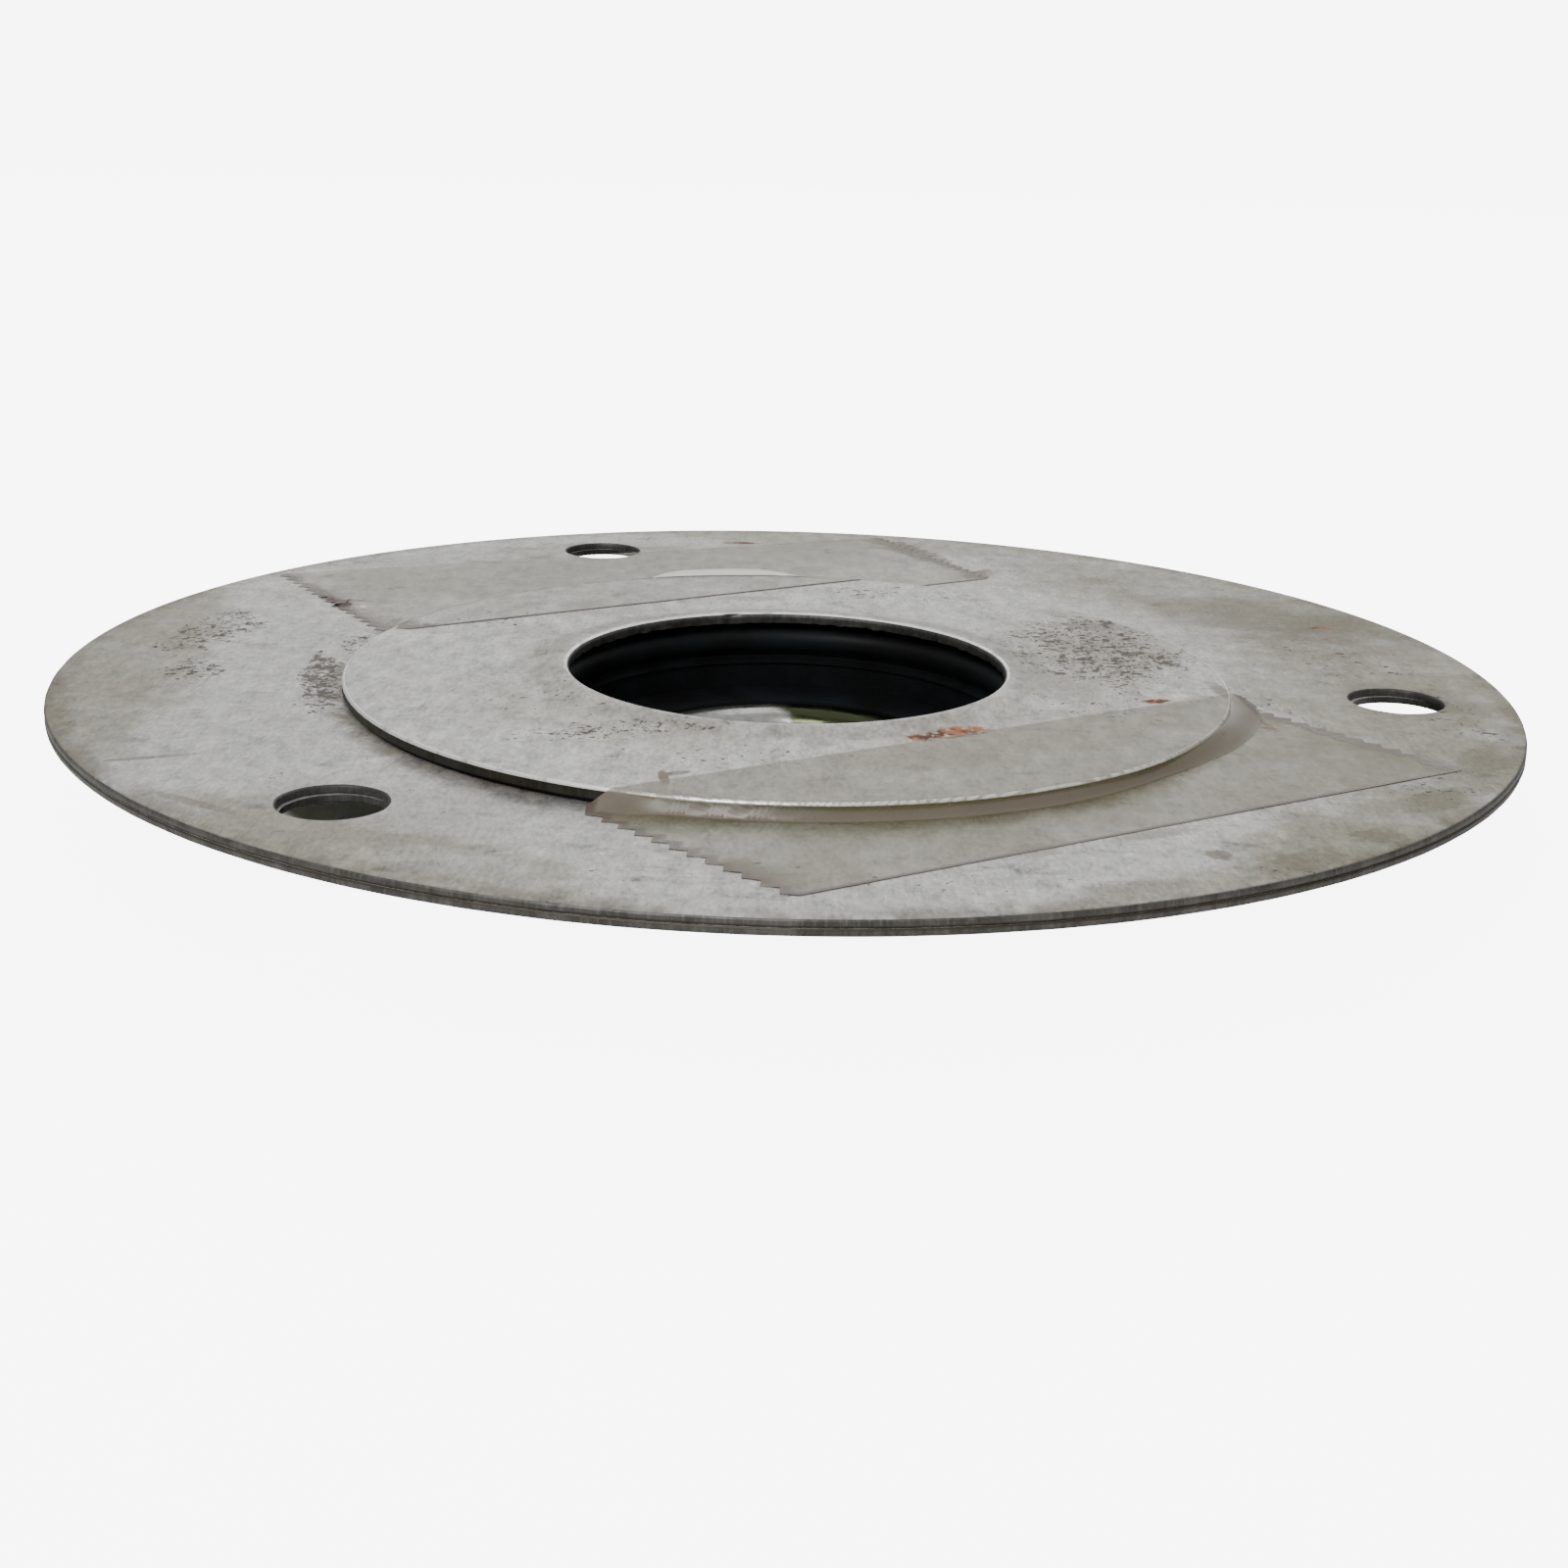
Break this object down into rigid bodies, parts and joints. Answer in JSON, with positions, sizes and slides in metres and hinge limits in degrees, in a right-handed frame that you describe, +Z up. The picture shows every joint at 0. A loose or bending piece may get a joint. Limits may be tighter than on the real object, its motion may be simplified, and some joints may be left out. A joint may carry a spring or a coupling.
{
  "type": "floating drain seal plate",
  "caption": "Round bolted flange with a rubber drain seal that floats sideways under a raised steel cover ring, held by strips of clear tape.",
  "frame": {"origin": "on the flange axis, at the foot of the bottom ring", "axes": "+Z up out of the cover ring, +Y the way the seal floats from its rest"},
  "size_m": [0.254, 0.254, 0.0238],
  "materials": {
    "flange_steel": "dull, scratched and stained",
    "cover_steel": "dull, lightly pitted",
    "plain_steel": "mill finish",
    "bright_steel": "bright pressed",
    "rubber": "matt moulded",
    "tape_film": "clear film, slightly yellow"
  },
  "bodies": {
    "flange": {"upper_flange_plate": "flange_steel"},
    "lower_plate": {"lower_flange_plate": "flange_steel"},
    "seal": {"cover_ring": "cover_steel", "top_gasket": "rubber", "seal_sleeve": "rubber", "bottom_gasket": "rubber", "retaining_washer": "plain_steel", "clamp_band": "plain_steel", "bottom_ring": "bright_steel", "tape_strip_front": "tape_film", "tape_strip_rear": "tape_film"}
  },
  "joints": [
    {"name": "seal_float", "type": "slide", "parent": "flange", "child": "seal", "axis": [0, 1, 0], "range_m": [0, 0.025]},
    {"name": "lower_plate_turn", "type": "hinge", "parent": "flange", "child": "lower_plate", "pos_m": [0, 0, 0.0175], "axis": [0, 0, 1], "continuous": true}
  ]
}
